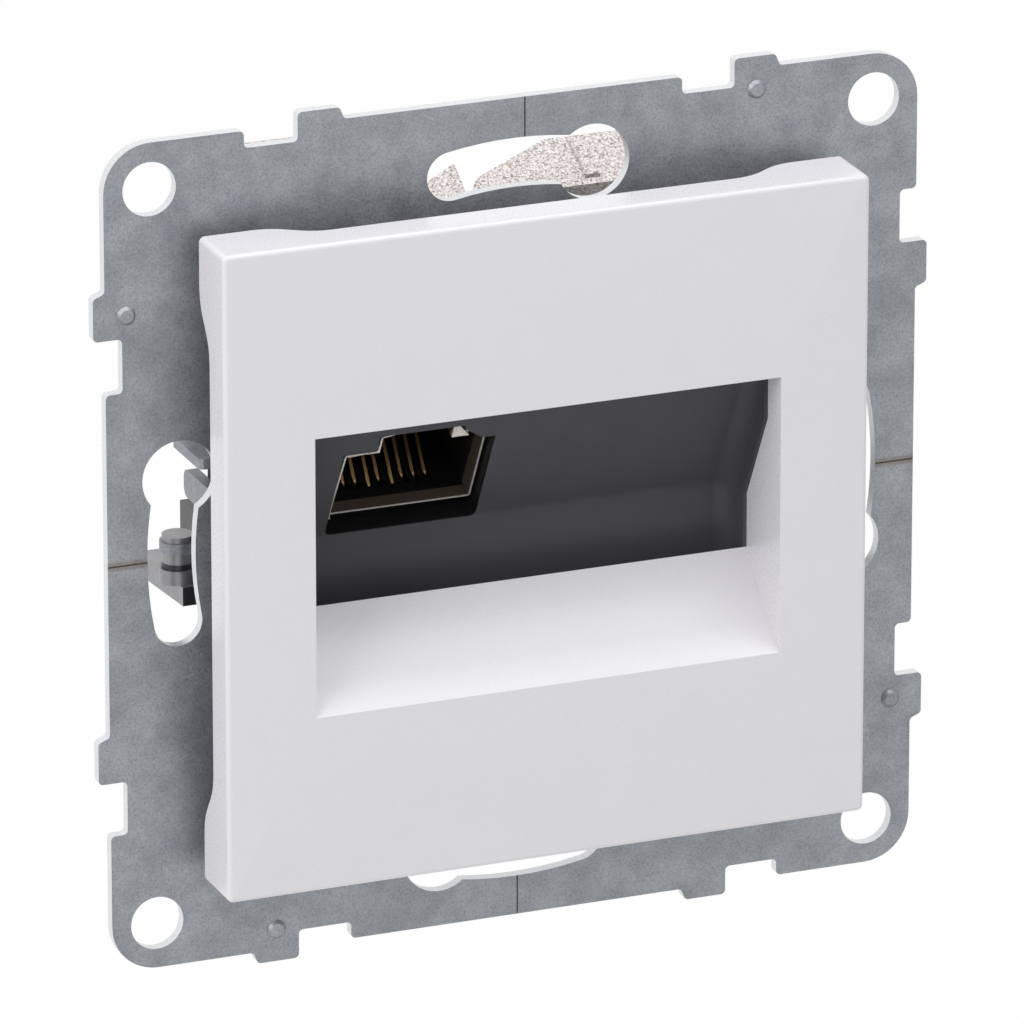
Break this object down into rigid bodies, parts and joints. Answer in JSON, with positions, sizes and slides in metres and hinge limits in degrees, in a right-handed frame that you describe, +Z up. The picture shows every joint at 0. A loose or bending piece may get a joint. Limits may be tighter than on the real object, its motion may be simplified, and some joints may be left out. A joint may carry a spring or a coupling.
{
  "type": "ethernet wall socket",
  "caption": "Flush network wall socket: a steel yoke, a clip-on cover with a sloping window, and a tilted, shielded jack with a hinged rear cover.",
  "frame": {"origin": "centre of the corner hole pattern, on the yoke's back face, which lies on the wall", "axes": "+Z up, -Y out of the wall towards the user, +X to the user's right"},
  "size_m": [0.0728, 0.0443, 0.0728],
  "materials": {
    "zinc_steel": "galvanised sheet, fine speckle",
    "white_cover": "smooth, satin to gloss",
    "dark_insert": "smooth and glossy",
    "nickel_shield": "folded, nickel plated",
    "black_core": "moulded",
    "contact_metal": "gold over nickel, polished",
    "board": "laminate",
    "pale_block": "moulded",
    "blade_metal": "tin plated",
    "wire_cap": "moulded",
    "die_cast": "zinc die casting, fine grain",
    "pin_steel": "drawn wire",
    "dark_carrier": "moulded"
  },
  "bodies": {
    "base": {"mounting_yoke": "zinc_steel", "cover_plate": "white_cover", "jack_insert": "dark_insert", "jack_shield": "nickel_shield", "jack_core": "black_core", "contact_1": "contact_metal", "contact_2": "contact_metal", "contact_3": "contact_metal", "contact_4": "contact_metal", "contact_5": "contact_metal", "contact_6": "contact_metal", "contact_7": "contact_metal", "contact_8": "contact_metal", "contact_board": "board", "idc_block": "pale_block", "idc_blade_1": "blade_metal", "idc_blade_2": "blade_metal", "idc_blade_3": "blade_metal", "idc_blade_4": "blade_metal", "idc_blade_5": "blade_metal", "idc_blade_6": "blade_metal", "idc_blade_7": "blade_metal", "idc_blade_8": "blade_metal", "connector_housing": "die_cast", "hinge_pin": "pin_steel", "carrier_frame": "dark_carrier"},
    "wire_cap": {"wire_cap": "wire_cap"},
    "rear_cover": {"rear_cover": "die_cast"}
  },
  "joints": [
    {"name": "rear_cover_hinge", "type": "hinge", "parent": "base", "child": "rear_cover", "pos_m": [0.0012, 0.0209, 0.01555], "axis": [0, -0.4741, 0.8805], "range_deg": [0, 90]},
    {"name": "wire_cap_slide", "type": "slide", "parent": "base", "child": "wire_cap", "axis": [0, 0.8805, 0.4741], "range_m": [0, 0.0035]}
  ]
}
